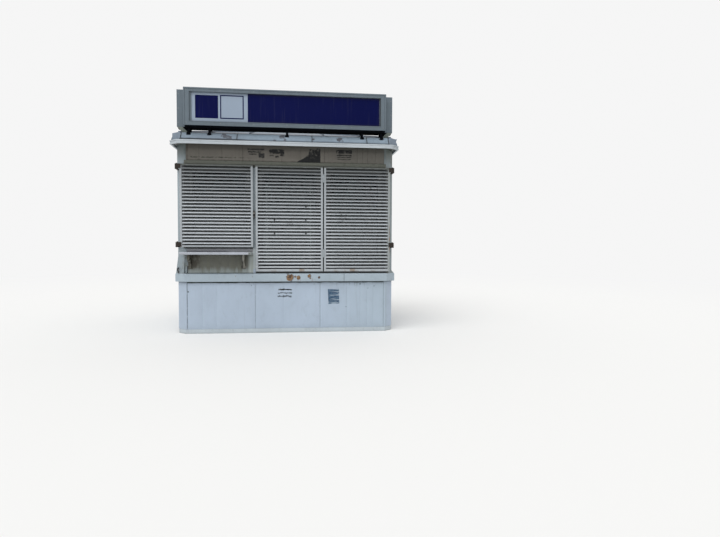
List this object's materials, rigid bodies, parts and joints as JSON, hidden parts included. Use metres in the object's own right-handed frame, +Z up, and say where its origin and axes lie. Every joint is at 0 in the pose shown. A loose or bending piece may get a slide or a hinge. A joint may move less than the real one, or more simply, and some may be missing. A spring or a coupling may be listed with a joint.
{
  "type": "street kiosk",
  "caption": "Small sheet-metal street kiosk with louvred front shutters, a serving shelf, a canopy and a box sign on the roof.",
  "frame": {"origin": "middle of the kiosk's footprint, on the ground under the middle floor bearer", "axes": "+X to the right along the front as a customer sees it, +Y from the front into the kiosk, +Z up"},
  "size_m": [2.628, 2.25, 2.807],
  "materials": {
    "bare_steel": "dull steel",
    "dark_metal": "black paint",
    "floor_board": "worn floor board",
    "interior_board": "plain lining board",
    "roof_sheet": "dull grey sheet",
    "rusty_steel": "rusty bare steel",
    "shutter_paint": "worn light grey paint",
    "sign_frame": "satin grey paint",
    "sign_navy": "satin navy panel",
    "sign_white": "satin white panel",
    "trim_paint": "worn pale grey paint",
    "wall_paint": "worn pale blue-grey paint",
    "window_glass": "dark dusty glass"
  },
  "bodies": {
    "kiosk": {"base_bearers": "wall_paint", "base_end_rails": "wall_paint", "ceiling": "interior_board", "corner_flares": "wall_paint", "corner_posts": "wall_paint", "fascia_front": "trim_paint", "fascia_rear": "trim_paint", "fascia_sides": "trim_paint", "floor": "floor_board", "fold_hinges": "shutter_paint", "front_apron_panel": "wall_paint", "front_frieze": "wall_paint", "front_lower_wall": "wall_paint", "front_posts": "wall_paint", "head_rail": "trim_paint", "left_hinge_lugs": "rusty_steel", "left_wall": "wall_paint", "middle_shutter_frame": "shutter_paint", "middle_shutter_louvres": "shutter_paint", "middle_window_frame": "trim_paint", "rear_door": "wall_paint", "rear_door_fittings": "bare_steel", "rear_door_frame": "wall_paint", "rear_wall_left": "wall_paint", "rear_wall_over_door": "wall_paint", "rear_wall_right": "wall_paint", "right_hinges": "rusty_steel", "right_shutter_frame": "shutter_paint", "right_shutter_louvres": "shutter_paint", "right_wall": "wall_paint", "right_window_frame": "trim_paint", "roof_corner_caps": "roof_sheet", "roof_curb": "roof_sheet", "roof_flashing": "roof_sheet", "roof_sheet": "roof_sheet", "serving_shelf": "trim_paint", "serving_window_frame": "trim_paint", "shelf_brackets": "trim_paint", "sign_frame": "sign_frame", "sign_gussets": "dark_metal", "sign_housing": "sign_frame", "sign_legs": "dark_metal", "sign_panel_navy": "sign_navy", "sign_panel_white": "sign_white", "sign_struts": "sign_frame", "sign_underside": "dark_metal", "waist_band_front": "trim_paint", "waist_band_rear": "trim_paint", "waist_band_sides": "trim_paint", "window_glass": "window_glass"},
    "left_shutter": {"left_hinge_knuckles": "rusty_steel", "left_shutter_frame": "shutter_paint", "left_shutter_lock": "rusty_steel", "left_shutter_louvres": "shutter_paint"}
  },
  "joints": [
    {"name": "left_shutter_hinge", "type": "hinge", "parent": "kiosk", "child": "left_shutter", "pos_m": [-1.257, -1.026, 1], "axis": [0, 0, -1], "range_deg": [0, 180]}
  ]
}
